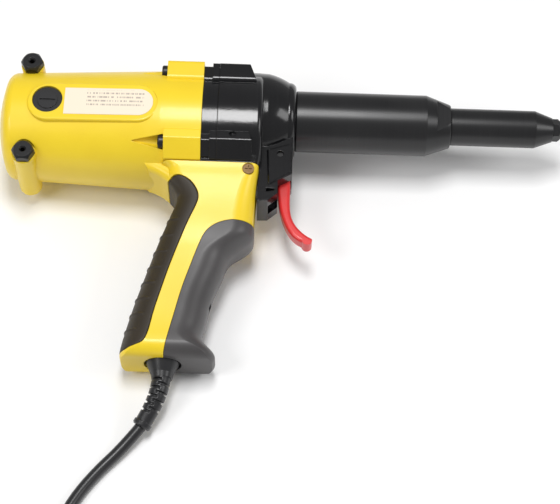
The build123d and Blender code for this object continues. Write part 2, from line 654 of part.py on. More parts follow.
def nose_sleeve():
    sleeve = turned(((84.2, SLEEVE_BORE), (84.2, 9.95), (CONE_FRONT + 0.1, 9.95), (CONE_FRONT + 0.1, SLEEVE_RADIUS - 0.4),
                     (CONE_FRONT + 0.5, SLEEVE_RADIUS), (TAPER_REAR, SLEEVE_RADIUS), (NOSE_SEAT, TAPER_RADIUS),
                     (NOSE_SEAT, THREAD_RADIUS), (152.4, THREAD_RADIUS), (151.6, SLEEVE_BORE)))
    hole = Rot(33, 0, 0) * Pos(131.0, 0, 10) * Cylinder(1.25, 8)
    return sleeve - hole


def nosepiece_form(x0, bore):
    """Hexagonal nosepiece with a domed face, its seat at x0 and the thread behind it."""
    body = hexagon(x0, x0 + NOSE_LENGTH, NOSE_HEX)
    body &= turned(((x0, 0), (x0, 6.2), (x0 + 0.7, 6.95), (x0 + 3.4, 6.95), (x0 + NOSE_LENGTH, 5.2),
                    (x0 + NOSE_LENGTH, 0)))
    body += along_x(x0 - 9.5, x0 + 0.2, THREAD_RADIUS - 0.05)
    body = body - along_x(x0 - 12, x0 + 12, bore)
    return body - turned(((x0 + 4.6, 0), (x0 + 4.6, bore), (x0 + NOSE_LENGTH + 0.1, bore + 1.0),
                          (x0 + NOSE_LENGTH + 0.1, 0)))


def spare_nosepiece(x, z, bore):
    """The same nosepiece screwed into a boss of the housing, its face to the right."""
    return Pos(x, -20.1, z) * Rot(0, 0, -90) * nosepiece_form(0, bore)


# ---------------------------------------------------------------- trigger and switch

def trigger():
    outline = Line((-6.6, -33.8), (-3.0, -43.4))
    outline += Spline((-3.0, -43.4), (-1.8, -58.0), (2.0, -72.2), (6.7, -80.2), (12.9, -84.6))
    outline += ThreePointArc((12.9, -84.6), (17.9, -85.3), (18.0, -81.4))
    outline += Spline((18.0, -81.4), (11.4, -76.5), (6.8, -69.7), (5.0, -60.4), (4.7, -43.4))
    outline += Line((4.7, -43.4), (3.6, -32.3))
    outline += ThreePointArc((3.6, -32.3), (-1.2, -25.9), (-6.6, -33.8))
    body = side_plate(make_face(outline), -4.7, 4.7)
    rounded = body.edges().filter_by(GeomType.BSPLINE)
    body = fillet(rounded, 1.9)
    return body - along_y(-6, 6, PIN_RADIUS + RUNNING, PIVOT_X, PIVOT_Z)


def trigger_pin():
    return along_y(-BRACKET_HALF + 0.4, BRACKET_HALF - 0.4, PIN_RADIUS, PIVOT_X, PIVOT_Z)


def switch_body():
    body = block(-44.5, -17.2, -9.0, 9.0, -76.8, -43.8)
    body += block(-17.3, -15.9, -3.8, 3.8, -56.1, -43.8)
    return body - block(-23.2, -14.0, -2.7, 2.7, -53.8, -45.8)


def switch_plunger():
    body = block(-18.8, -3.9, -2.6, 2.6, -53.7, -45.9)
    body = fillet(body.edges().filter_by(Axis.Y), 1.2)
    return body & block(-30, -3.85, -10, 10, -60, -40)


def handle_screws():
    screws = Part()
    for z in (-100.0, -140.0):
        for sign in (-1, 1):
            x = -60.0 if z > -120 else -68.0
            screws += along_x(x, x + 9, 1.6, sign * 8.4, z) + along_x(x + 9, x + 10.4, 2.8, sign * 8.4, z)
    return screws


def plate_screw():
    head = along_y(-22.2, -20.9, 3.3, *PLATE_SCREW) + along_y(-20.9, -12.5, 1.55, *PLATE_SCREW)
    cross = block(-22.3, -18.3, -23.5, -21.4, -46.6, -45.8) + block(-20.7, -19.9, -23.5, -21.4, -48.2, -44.2)
    return head - cross


def housing_screws():
    screws = Part()
    for z in (SCREW_TOP_Z, SCREW_LOW_Z):
        for y in (-SCREW_Y, SCREW_Y):
            head = fillet(along_x(LUG_REAR - 3.5, LUG_REAR, 4.0, y, z).edges().sort_by(Axis.X)[0], 1.0)
            socket = hexagon(LUG_REAR - 4, LUG_REAR - 1.4, 4.0, y, z)
            screws += head - socket + along_x(LUG_REAR - 0.1, -23, SCREW_RADIUS, y, z)
    return screws


# ---------------------------------------------------------------- label, cord and plug

def rating_label():
    rear_y, front_y = panel_faces()
    slope = math.degrees(math.atan2(front_y - rear_y, PANEL_FRONT - PANEL_REAR + 10))
    middle = (PANEL_REAR + PANEL_FRONT) / 2
    face = Pos(-104.4 - middle, 0) * Rectangle(52.6, 17.9)
    face &= Pos(-109.0 - middle, 0) * SlotOverall(62, 17.9)
    return Pos(middle, (rear_y + front_y) / 2 - 0.02, PANEL_Z) * Rot(0, 0, slope) * side_plate(face, -0.35, 0)


def gland():
    """Flared gland that turns in the foot of the handle."""
    outline = Polyline((0, -153.5), (9.0, -153.5), (10.4, -157.0), (10.4, -161.0), (9.6, -163.2), (6.6, -169.5),
                       (5.9, -172.5), (0, -172.5), close=True)
    return Pos(GLAND_X, 0, 0) * revolve(Plane.XZ * make_face(outline), Axis.Z)


def arc_radii(points):
    """Largest tangent arc for each corner of a route: 0.45 of its shorter run."""
    radii = []
    for before, corner, after in zip(points, points[1:], points[2:]):
        first = Vector(*corner) - Vector(*before)
        second = Vector(*after) - Vector(*corner)
        half_turn = math.radians(first.get_angle(second)) / 2
        radii.append(0.45 * min(first.length, second.length) / math.tan(half_turn))
    return radii


def tube_along(points, radius):
    radii = arc_radii(points)
    print("arc radii", [round(value, 1) for value in radii])
    path = FilletPolyline(*points, radius=radii)
    tube = sweep(Plane(path @ 0, z_dir=path % 0) * Circle(radius), path=path)
    print("tube length", round(path.length, 1), "volume ratio", tube.volume / (path.length * math.pi * radius ** 2))
    return tube


def strain_relief():
    """Bent sleeve that starts inside the gland and ends in a small collar."""
    sleeve = tube_along(RELIEF_ROUTE, RELIEF_RADIUS)
    end, before = Vector(*RELIEF_ROUTE[-1]), Vector(*RELIEF_ROUTE[-2])
    along = (end - before).normalized()
    collar = Plane(end - along * 3.5, z_dir=along) * Cylinder(RELIEF_RADIUS + 0.5, 3.5, align=STANDING)
    return sleeve + collar


def cord_coil():
    inner = COIL_INNER - CORD_RADIUS
    outer = COIL_INNER + COIL_PITCH * COIL_TURNS + CORD_RADIUS
    low = COIL_LOW - CORD_RADIUS
    body = Cylinder(outer, 2 * COIL_PITCH, align=STANDING) - Cylinder(inner, 4 * COIL_PITCH)
    body = fillet(body.edges().filter_by(GeomType.CIRCLE), 2.2)
    return Pos(COIL_CENTRE[0], COIL_CENTRE[1], low) * body


def cord_tie():
    """Flat tie round the bundle, on the side away from the tool."""
    low = COIL_LOW - CORD_RADIUS
    inner_r, outer_r = COIL_INNER - CORD_RADIUS, COIL_INNER + COIL_PITCH * COIL_TURNS + CORD_RADIUS
    middle = (inner_r + outer_r) / 2
    hole = Box(outer_r - inner_r + 1.2, 20, 2 * COIL_PITCH + 0.3)
    band = Box(outer_r - inner_r + 2.6, TIE_WIDTH, 2 * COIL_PITCH + 1.5)
    place = Pos(*COIL_CENTRE, low + COIL_PITCH) * Rot(0, 0, TIE_ANGLE) * Pos(middle, 0, 0)
    return place * (band - hole)


def mains_cord():
    return tube_along(CORD_TO_COIL, CORD_RADIUS) + tube_along(CORD_TO_PLUG, CORD_RADIUS)


def plug_place(shape):
    """Plug frame: the cord comes in along +X at its origin, the pins point along +X."""
    start = CORD_TO_PLUG[-1]
    before = CORD_TO_PLUG[-2]
    heading = math.degrees(math.atan2(start[1] - before[1], start[0] - before[0]))
    return Pos(*start) * Rot(0, 0, heading) * shape


def plug_body():
    boot = loft([Plane.YZ * Circle(4.2), Plane.YZ.offset(11) * Circle(5.2)])
    boot += loft([Plane.YZ.offset(11) * Circle(5.2), Plane.YZ.offset(23) * RectangleRounded(26, 19, 7)])
    grip_part = extrude(Plane.YZ.offset(23) * RectangleRounded(26, 19, 7), amount=12)
    head = loft([Plane.YZ.offset(35) * RectangleRounded(26, 19, 7), Plane.YZ.offset(41) * RectangleRounded(35, 21.6, 9)])
    head += extrude(Plane.YZ.offset(41) * RectangleRounded(35, 21.6, 9), amount=6)
    return plug_place(boot + grip_part + head)


def plug_pins():
    pins = Part()
    for side in (-9.5, 9.5):
        pin = along_x(PLUG_FACE, PLUG_FACE + PIN_LENGTH, PLUG_PIN_RADIUS, side)
        pins += fillet(pin.edges().sort_by(Axis.X)[-1], 1.2)
    return plug_place(pins)


TRAIN_IDLER = idler_place()


def build_parts():
    train = gear_train(TRAIN_IDLER)
    iy, iz = TRAIN_IDLER
    right_cap, right_holder, right_brush, right_spring = brush_cap(), brush_holder(), carbon_brush(), brush_spring()
    parts = {
        "motor_housing": motor_housing(),
        "rear_grip_pad": rear_grip_pad(),
        "handle_cover": handle_cover(),
        "rating_label": rating_label(),
        "middle_plate": middle_plate(TRAIN_IDLER),
        "gear_case": gear_case(TRAIN_IDLER),
        "housing_screws": housing_screws(),
        "plate_screw": plate_screw(),
        "handle_screws": handle_screws(),
        "spare_nosepiece_upper": spare_nosepiece(*SPARE_PLACES[0], 1.45),
        "spare_nosepiece_lower": spare_nosepiece(*SPARE_PLACES[1], 1.25),
        "stator_core": stator_core(),
        "stator_coils": stator_coils(),
        "armature_core": armature_core(),
        "armature_windings": armature_windings(),
        "commutator": commutator(),
        "cooling_fan": cooling_fan(),
        "motor_shaft": motor_shaft(train),
        "rear_bearing": sealed_bearing(-158.4, -151.4, 11.0, SHAFT_RADIUS + RUNNING, MOTOR_Z),
        "front_bearing": sealed_bearing(-46.5, -39.7, 11.0, SHAFT_RADIUS + RUNNING, MOTOR_Z),
        "brush_cap_right": right_cap,
        "brush_cap_left": mirrored(right_cap),
        "brush_holder_right": right_holder,
        "brush_holder_left": mirrored(right_holder),
        "carbon_brush_right": right_brush,
        "carbon_brush_left": mirrored(right_brush),
        "brush_spring_right": right_spring,
        "brush_spring_left": mirrored(right_spring),
        "idler_gear": train["idler_gear"],
        "idler_shaft": train["idler_shaft"],
        "idler_bushes": ring(-45.1, -40.4, 4.98, IDLER_SHAFT_RADIUS + RUNNING, iy, iz)
        + ring(-24.2, -19.6, 4.98, IDLER_SHAFT_RADIUS + RUNNING, iy, iz),
        "drive_nut": train["drive_nut"],
        "nut_bearing_rear": sealed_bearing(-24.1, -17.3, 18.5, 12.5 + RUNNING),
        "nut_bearing_front": sealed_bearing(-16.1, -9.3, 18.5, 12.5 + RUNNING),
        "pull_screw": pull_screw(),
        "mandrel_tube": mandrel_tube(),
        "jaw_lock_nut": jaw_lock_nut(),
        "jaw_case": jaw_case(),
        "jaw_pusher": jaw_pusher(),
        "jaw_spring": jaw_spring(),
        "jaws": Part() + [jaw(index) for index in range(3)],
        "guide_bush": guide_bush(),
        "barrel": barrel(),
        "nose_sleeve": nose_sleeve(),
        "nosepiece": nosepiece_form(NOSE_SEAT, MANDREL_RADIUS),
        "trigger": trigger(),
        "trigger_pin": trigger_pin(),
        "switch_body": switch_body(),
        "switch_plunger": switch_plunger(),
        "gland": gland(),
    }
    return lay_down(parts)


def lay_down(parts):
    """Turn the tool onto its left side and stand it on z = 0, centred on the origin."""
    turned_parts = {node: Rot(-90 + LEAN, 0, 0) * shape for node, shape in parts.items()}
    boxes = [shape.bounding_box() for node, shape in turned_parts.items() if node != "gland"]
    low = [min(getattr(box.min, axis) for box in boxes) for axis in "XYZ"]
    high = [max(getattr(box.max, axis) for box in boxes) for axis in "XYZ"]
    shift = Pos(-(low[0] + high[0]) / 2, -(low[1] + high[1]) / 2, -low[2])
    print("shift", shift.position, "lean", LEAN)
    return {node: shift * shape for node, shape in turned_parts.items()}


def build_cord():
    return {
        "strain_relief": strain_relief(),
        "mains_cord": mains_cord(),
        "cord_coil": cord_coil(),
        "cord_tie": cord_tie(),
        "plug_body": plug_body(),
        "plug_pins": plug_pins(),
    }


os.makedirs("parts", exist_ok=True)
tool = build_parts()
cord = build_cord()
cord["strain_relief"] -= tool["gland"]
for node, shape in (tool | cord).items():
    export_step(shape, f"parts/{node}.step")
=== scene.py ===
import json
import math

import bpy
from mathutils import Matrix, Vector


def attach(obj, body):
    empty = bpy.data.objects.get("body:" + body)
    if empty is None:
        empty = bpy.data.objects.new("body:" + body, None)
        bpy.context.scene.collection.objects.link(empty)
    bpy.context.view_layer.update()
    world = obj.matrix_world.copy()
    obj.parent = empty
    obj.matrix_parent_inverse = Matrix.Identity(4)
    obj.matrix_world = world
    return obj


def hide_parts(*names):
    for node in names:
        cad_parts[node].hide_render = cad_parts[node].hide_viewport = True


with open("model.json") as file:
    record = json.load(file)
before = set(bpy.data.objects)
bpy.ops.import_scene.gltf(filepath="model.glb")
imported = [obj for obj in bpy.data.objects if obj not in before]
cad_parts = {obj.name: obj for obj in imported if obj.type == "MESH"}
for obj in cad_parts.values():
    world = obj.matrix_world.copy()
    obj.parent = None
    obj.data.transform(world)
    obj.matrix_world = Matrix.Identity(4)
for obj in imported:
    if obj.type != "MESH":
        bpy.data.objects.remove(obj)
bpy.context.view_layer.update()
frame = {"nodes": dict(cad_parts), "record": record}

# Electric blind-rivet gun lying on its left side on a bench, metres throughout
nodes = frame["nodes"]
mounts = {m["name"]: Vector(m["pos_m"]) for m in frame["record"]["mounts"]}
toMetres = 0.001

# The tool's own axes: x to the nose, y to the left, z away from the handle, millimetres from the pull line
toolLean = math.radians(-90 + 7.373227125)
noseBoreMiddle = 161.5  # along the pull line from the tool's origin
pullLine = mounts["nose_bore"] - Vector((noseBoreMiddle * toMetres, 0, 0))
toolAxes = Matrix.Translation(pullLine) @ Matrix.Rotation(toolLean, 4, "X") @ Matrix.Scale(toMetres, 4)
toTool = toolAxes.inverted()


def evaluated(thing):
    graph = bpy.context.evaluated_depsgraph_get()
    return bpy.data.meshes.new_from_object(thing.evaluated_get(graph))


def addPiece(name, mesh, finish):
    piece = bpy.data.objects.new(name, mesh)
    bpy.context.scene.collection.objects.link(piece)
    mesh.materials.clear()
    mesh.materials.append(finish)
    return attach(piece, "tool_body")


cameraSettings = {
    "place": (0.00135, -0.57522, 0.85989),
    "aim": (0.0, 0.5530, -0.83318),
    "roll": 1.93,  # degrees, so that the barrel slopes down to the right
    "lens": 108.92,
    "sensor": 36,
    "near": 0.01,
    "far": 50,
}


def addCamera(s):
    camera = bpy.data.objects.new("camera", bpy.data.cameras.new("camera"))
    bpy.context.scene.collection.objects.link(camera)
    camera.data.lens = s["lens"]
    camera.data.sensor_width = s["sensor"]
    camera.data.clip_start = s["near"]
    camera.data.clip_end = s["far"]
    turn = Vector(s["aim"]).to_track_quat("-Z", "Y").to_matrix().to_4x4()
    roll = Matrix.Rotation(math.radians(s["roll"]), 4, "Z")
    camera.matrix_world = Matrix.Translation(s["place"]) @ turn @ roll
    bpy.context.scene.camera = camera


addCamera(cameraSettings)
print("camera placed")


class Wire:
    # a shader socket that can stand in a Python expression
    def __init__(self, finish, socket):
        self.finish = finish
        self.socket = socket

    def math(self, operation, first, second):
        made = self.finish.node("Math", {"operation": operation}, {0: first, 1: second})
        return Wire(self.finish, made.outputs[0])

    def __add__(self, other):
        return self.math("ADD", self, other)

    def __radd__(self, other):
        return self.math("ADD", other, self)

    def __sub__(self, other):
        return self.math("SUBTRACT", self, other)

    def __rsub__(self, other):
        return self.math("SUBTRACT", other, self)

    def __mul__(self, other):
        return self.math("MULTIPLY", self, other)

    def __rmul__(self, other):
        return self.math("MULTIPLY", other, self)

    def __truediv__(self, other):
        return self.math("DIVIDE", self, other)

    def __rtruediv__(self, other):
        return self.math("DIVIDE", other, self)

    def __gt__(self, other):
        return self.math("GREATER_THAN", self, other)

    def __lt__(self, other):
        return self.math("LESS_THAN", self, other)

    def __mod__(self, other):
        return self.math("FLOORED_MODULO", self, other)


class Finish:
    # one material, built round its Principled shader
    def __init__(self, name, look):
        self.material = bpy.data.materials.new(name)
        self.material.use_nodes = True
        self.tree = self.material.node_tree
        self.shader = self.tree.nodes["Principled BSDF"]
        self.normal = None
        for socket, value in look.items():
            self.feed(self.shader.inputs[socket], value)
        self.place = self.node("TexCoord", {}, {}).outputs["Object"]

    def feed(self, socket, value):
        if isinstance(value, Wire):
            value = value.socket
        if isinstance(value, bpy.types.NodeSocket):
            self.tree.links.new(value, socket)
        elif hasattr(value, "__len__") and len(value) == 3 and socket.type == "RGBA":
            socket.default_value = (*value, 1)
        else:
            socket.default_value = value

    def node(self, kind, settings, sockets):
        made = self.tree.nodes.new("ShaderNode" + kind)
        for key, value in settings.items():
            if key == "stops":
                self.setRamp(made.color_ramp, value)
            else:
                setattr(made, key, value)
        for key, value in sockets.items():
            self.feed(made.inputs[key], value)
        return made

    def setRamp(self, ramp, stops):
        while len(ramp.elements) < len(stops):
            ramp.elements.new(1)
        for element, (position, grey) in zip(ramp.elements, stops):
            element.position = position
            element.color = (grey, grey, grey, 1)

    def stretched(self, stretch):
        made = self.node("VectorMath", {"operation": "MULTIPLY"}, {0: self.place, 1: stretch})
        return made.outputs["Vector"]

    def noise(self, scale, detail=2.0, stretch=None):
        place = self.stretched(stretch) if stretch else self.place
        made = self.node("TexNoise", {}, {"Vector": place, "Scale": scale, "Detail": detail})
        return Wire(self, made.outputs["Fac"])

    def ramp(self, value, stops):
        return Wire(self, self.node("ValToRGB", {"stops": stops}, {"Fac": value}).outputs["Color"])

    def along(self, direction):
        # distance in metres from the pull line along one of the tool's directions
        moved = self.node("VectorMath", {"operation": "SUBTRACT"}, {0: self.place, 1: pullLine})
        way = (toolAxes.to_3x3() @ Vector(direction)).normalized()
        sockets = {0: moved.outputs["Vector"], 1: way}
        return Wire(self, self.node("VectorMath", {"operation": "DOT_PRODUCT"}, sockets).outputs["Value"])

    def mix(self, share, first, second):
        made = self.node("Mix", {"data_type": "RGBA"}, {0: share, 6: first, 7: second})
        return made.outputs[2]

    def colour(self, share, first, second):
        self.feed(self.shader.inputs["Base Color"], self.mix(share, first, second))

    def rough(self, value):
        self.feed(self.shader.inputs["Roughness"], value)

    def softEdges(self, radius):
        self.normal = self.node("Bevel", {"samples": 4}, {"Radius": radius}).outputs["Normal"]
        self.feed(self.shader.inputs["Normal"], self.normal)

    def relief(self, height, depth):
        sockets = {"Strength": 1.0, "Distance": depth, "Height": height}
        if self.normal:
            sockets["Normal"] = self.normal
        self.normal = self.node("Bump", {}, sockets).outputs["Normal"]
        self.feed(self.shader.inputs["Normal"], self.normal)


# moulded plastic and rubber: two close colours, a fine grain and edges that are slightly rounded
mouldedSettings = {
    "yellow_housing": {"light": (0.90, 0.66, 0.022), "deep": (0.86, 0.61, 0.017),
                       "rough": 0.36, "spread": 0.10,
                       "grain": 1500, "depth": 8e-6, "edge": 0.0005, "coat": 0.12},
    "grip_rubber": {"light": (0.030, 0.021, 0.011), "deep": (0.020, 0.014, 0.007),
                    "rough": 0.55, "spread": 0.18,
                    "grain": 2600, "depth": 1.6e-5, "edge": 0.0004, "coat": 0.0},
    "grey_cover": {"light": (0.070, 0.066, 0.067), "deep": (0.050, 0.047, 0.048),
                   "rough": 0.40, "spread": 0.14,
                   "grain": 2200, "depth": 1.4e-5, "edge": 0.0004, "coat": 0.0},
    "black_plastic": {"light": (0.020, 0.020, 0.022), "deep": (0.010, 0.010, 0.011),
                      "rough": 0.34, "spread": 0.14,
                      "grain": 1900, "depth": 1.0e-5, "edge": 0.0003, "coat": 0.0},
    "trigger_red": {"light": (0.78, 0.035, 0.035), "deep": (0.60, 0.018, 0.020),
                    "rough": 0.30, "spread": 0.10,
                    "grain": 1700, "depth": 8e-6, "edge": 0.0004, "coat": 0.2},
    "switch_grey": {"light": (0.50, 0.50, 0.49), "deep": (0.38, 0.38, 0.37),
                    "rough": 0.42, "spread": 0.12,
                    "grain": 1800, "depth": 8e-6, "edge": 0.0003, "coat": 0.0},
    "fan_white": {"light": (0.86, 0.84, 0.80), "deep": (0.70, 0.68, 0.62),
                  "rough": 0.45, "spread": 0.12,
                  "grain": 1500, "depth": 8e-6, "edge": 0.0003, "coat": 0.0},
    "tie_black": {"light": (0.024, 0.024, 0.026), "deep": (0.010, 0.010, 0.011),
                  "rough": 0.62, "spread": 0.2,
                  "grain": 3200, "depth": 4e-5, "edge": 0.0003, "coat": 0.0},
    "carbon": {"light": (0.045, 0.045, 0.048), "deep": (0.020, 0.020, 0.022),
               "rough": 0.6, "spread": 0.2,
               "grain": 3000, "depth": 1.2e-5, "edge": 0.0002, "coat": 0.0},
}


mouldedPattern = {
    "coatRough": 0.12,
    "index": 1.5,
    "broad": 28,  # patches of the deeper colour, per metre
    "broadDetail": 3,
    "grainShare": 0.25,  # of the fine grain in the colour
    "stops": ((0.35, 0), (0.68, 1)),
    "wave": 90,  # shallow unevenness of the surface
    "waveDepth": 2,  # as a multiple of the grain's
}


def moulded(name, s, pattern):
    coat = {"Coat Weight": s["coat"], "Coat Roughness": pattern["coatRough"]}
    made = Finish(name, {**coat, "IOR": pattern["index"]})
    broad = made.noise(pattern["broad"], pattern["broadDetail"])
    grain = made.noise(s["grain"])
    blend = broad * (1 - pattern["grainShare"]) + grain * pattern["grainShare"]
    made.colour(made.ramp(blend, pattern["stops"]), s["light"], s["deep"])
    made.rough(broad * s["spread"] + (s["rough"] - s["spread"] / 2))
    made.softEdges(s["edge"])
    made.relief(made.noise(pattern["wave"]), s["depth"] * pattern["waveDepth"])
    made.relief(grain, s["depth"])
    return made.material


# painted, blackened and bright metal: worn or brushed, with turning marks where a lathe made the part
metalSettings = {
    "black_casting": {"light": (0.009, 0.009, 0.010), "deep": (0.004, 0.004, 0.005),
                      "rough": 0.16, "spread": 0.10,
                      "metal": 0.0, "orange": 4.5e-5, "rings": 0.0, "edge": 0.0006},
    "black_steel": {"light": (0.016, 0.016, 0.017), "deep": (0.008, 0.008, 0.009),
                    "rough": 0.30, "spread": 0.10,
                    "metal": 0.1, "orange": 0.0, "rings": 9e-6, "edge": 0.0004},
    "black_screw": {"light": (0.045, 0.044, 0.045), "deep": (0.020, 0.020, 0.020),
                    "rough": 0.36, "spread": 0.16,
                    "metal": 0.7, "orange": 8e-6, "rings": 0.0, "edge": 0.0003},
    "zinc_screw": {"light": (0.30, 0.19, 0.09), "deep": (0.16, 0.10, 0.05),
                   "rough": 0.38, "spread": 0.16,
                   "metal": 1.0, "orange": 6e-6, "rings": 0.0, "edge": 0.0002},
    "steel": {"light": (0.62, 0.62, 0.63), "deep": (0.46, 0.46, 0.48),
              "rough": 0.26, "spread": 0.14,
              "metal": 1.0, "orange": 0.0, "rings": 7e-6, "edge": 0.0002},
    "lamination": {"light": (0.40, 0.40, 0.42), "deep": (0.22, 0.22, 0.24),
                   "rough": 0.42, "spread": 0.16,
                   "metal": 1.0, "orange": 0.0, "rings": 3e-5, "edge": 0.0002},
    "copper": {"light": (0.86, 0.36, 0.16), "deep": (0.62, 0.20, 0.08),
               "rough": 0.28, "spread": 0.12,
               "metal": 1.0, "orange": 2e-5, "rings": 2e-5, "edge": 0.0002},
    "brass": {"light": (0.83, 0.61, 0.27), "deep": (0.62, 0.42, 0.16),
              "rough": 0.28, "spread": 0.14,
              "metal": 1.0, "orange": 0.0, "rings": 8e-6, "edge": 0.0002},
    "bronze": {"light": (0.66, 0.42, 0.22), "deep": (0.44, 0.26, 0.13),
               "rough": 0.40, "spread": 0.16,
               "metal": 1.0, "orange": 1e-5, "rings": 0.0, "edge": 0.0002},
}


metalPattern = {
    "broad": 35,
    "broadDetail": 3,
    "rings": 900,
    "ringStretch": (3.0, 0.04, 0.04),  # close along the tool, long around it
    "ringShare": 0.4,
    "stops": ((0.35, 0), (0.66, 1)),
    "orange": 260,  # orange-peel skin of paint
    "orangeDetail": 1.5,
}


def metal(name, s, pattern):
    made = Finish(name, {"Metallic": s["metal"]})
    broad = made.noise(pattern["broad"], pattern["broadDetail"])
    rings = made.noise(pattern["rings"], stretch=pattern["ringStretch"])
    blend = broad * (1 - pattern["ringShare"]) + rings * pattern["ringShare"]
    made.colour(made.ramp(blend, pattern["stops"]), s["light"], s["deep"])
    made.rough(broad * s["spread"] + (s["rough"] - s["spread"] / 2))
    made.softEdges(s["edge"])
    if s["orange"]:
        made.relief(made.noise(pattern["orange"], pattern["orangeDetail"]), s["orange"])
    if s["rings"]:
        made.relief(rings, s["rings"])
    return made.material


labelSettings = {
    "paper": (0.90, 0.80, 0.64),
    "ink": (0.36, 0.29, 0.27),
    "rough": 0.24,
    "coat": 0.3,
    "coatRough": 0.1,
    "rows": 0.0026,  # spacing of the printed lines
    "rowFrom": 0.30,  # printed part of each line's height
    "rowTo": 0.72,
    "base": -0.02,  # height from which the lines are counted
    "left": -0.1175,  # the printed field
    "right": -0.0835,
    "bottom": 0.0045,
    "top": 0.0165,
    "dashes": (2600, 5200),  # along a line and from line to line
    "dashScale": 0.55,
    "gap": 0.47,  # share of each line that stays blank
    "inkShare": 0.72,
    "edge": 0.0002,
    "grain": 700,
    "depth": 4e-6,
}


def printedLabel(name, s):
    # off-white foil with short grey dashes in rows that stand for small print
    made = Finish(name, {"Roughness": s["rough"], "Coat Weight": s["coat"], "Coat Roughness": s["coatRough"]})
    x = made.along((1, 0, 0))
    z = made.along((0, 0, 1)) - s["base"]
    row = z / s["rows"] % 1
    inRow = (row > s["rowFrom"]) * (row < s["rowTo"])
    line = z - z % s["rows"]
    alongLine, acrossLines = s["dashes"]
    combined = made.node("CombineXYZ", {}, {"X": x * alongLine, "Y": line * acrossLines}).outputs["Vector"]
    sockets = {"Vector": combined, "Scale": s["dashScale"], "Detail": 0.0}
    dashes = made.node("TexNoise", {"noise_dimensions": "2D"}, sockets)
    marks = (Wire(made, dashes.outputs["Fac"]) > s["gap"]) * inRow
    field = (x > s["left"]) * (x < s["right"]) * (z > s["bottom"]) * (z < s["top"])
    made.colour(marks * field * s["inkShare"], s["paper"], s["ink"])
    made.softEdges(s["edge"])
    made.relief(made.noise(s["grain"]), s["depth"])
    return made.material


cordFinishSettings = {
    "light": (0.022, 0.022, 0.024),
    "deep": (0.011, 0.011, 0.012),
    "rough": 0.33,
    "spread": 0.14,
    "index": 1.5,
    "broad": 45,
    "broadDetail": 3,
    "wave": 500,
    "waveDepth": 1.2e-5,
    "grain": 2400,
    "grainDepth": 6e-6,
}


def cordSheath(name, s):
    # smooth extruded jacket with a faint waviness
    made = Finish(name, {"IOR": s["index"]})
    broad = made.noise(s["broad"], s["broadDetail"])
    made.colour(broad, s["light"], s["deep"])
    made.rough(broad * s["spread"] + (s["rough"] - s["spread"] / 2))
    made.relief(made.noise(s["wave"]), s["waveDepth"])
    made.relief(made.noise(s["grain"], 1), s["grainDepth"])
    return made.material


finishes = {name: moulded(name, s, mouldedPattern) for name, s in mouldedSettings.items()}
finishes.update({name: metal(name, s, metalPattern) for name, s in metalSettings.items()})
finishes["rating_label"] = printedLabel("rating_label", labelSettings)
finishes["cord_black"] = cordSheath("cord_black", cordFinishSettings)

for part in frame["record"]["subparts"]:
    mesh = nodes[part["node"]].data
    mesh.materials.clear()
    mesh.materials.append(finishes[part["material_slot"]])
print("finishes made:", len(finishes))


cordSettings = {
    "radius": 3.35,
    "coilInner": 27.2,
    "coilTurns": 4,  # in the lower of two layers
    "coilEnd": 7.75,  # turns altogether
    "climb": 0.25,  # part of a turn that it takes from the lower layer to the upper one
    "length": 2.25,
    "pitch": 6.8,
    "low": 4.2,
    "centre": (-174.0, -252.0),
    "pointsPerTurn": 14,
    "toCoil": ((-73.9, -131.2, 8.0), (-83.5, -143.6, 4.6), (-97.0, -158.5, 3.4), (-108.5, -176.0, 3.4),
               (-116.5, -197.0, 3.5), (-119.5, -222.0, 3.8)),
    "toPlug": ((-152.0, -198.6, 11.6), (-130.0, -199.8, 12.0), (-108.5, -205.0, 11.6),
               (-89.0, -216.0, 6.6), (-73.5, -231.5, 4.0), (-63.5, -249.0, 6.4), (-58.5, -266.0, 11.0)),
}


def coilPoints(s):
    # inwards in the lower layer, then outwards on top of it
    points = []
    for index in range(int(s["coilEnd"] * s["pointsPerTurn"]) + 1):
        turn = index / s["pointsPerTurn"]
        radius = s["coilInner"] + s["pitch"] * abs(s["coilTurns"] - turn)
        rise = min(max((turn - s["coilTurns"]) / s["climb"] + 1, 0), 1)
        angle = -2 * math.pi * turn
        points.append((s["centre"][0] + radius * math.cos(angle), s["centre"][1] + radius * math.sin(angle),
                       s["low"] + s["pitch"] * rise))
    return points


def routeCurve(name, points, radius=0.0):
    curve = bpy.data.curves.new(name, "CURVE")
    curve.dimensions = "3D"
    spline = curve.splines.new("NURBS")
    spline.points.add(len(points) - 1)
    for point, place in zip(spline.points, points):
        point.co = (*(Vector(place) * toMetres), 1)
    spline.order_u = 3
    spline.use_endpoint_u = True
    curve.resolution_u = 8
    curve.bevel_depth = radius * toMetres
    curve.bevel_resolution = 6
    curve.use_fill_caps = radius > 0
    return curve


def routeLine(points):
    # the places that a route's smooth line runs through
    curve = bpy.data.objects.new("route", routeCurve("route", points))
    bpy.context.scene.collection.objects.link(curve)
    line = [v.co.copy() for v in evaluated(curve).vertices]
    bpy.data.objects.remove(curve)
    return line


def addCord(s):
    points = [*s["toCoil"], *coilPoints(s), *s["toPlug"]]
    cord = addPiece("mainsLead", routeCurve("mainsLead", points, s["radius"]), finishes["cord_black"])
    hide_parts("mains_cord", "cord_coil")
    line = routeLine(points)
    length = sum((b - a).length for a, b in zip(line, line[1:]))
    print("lead is", round(length, 3), "m long")


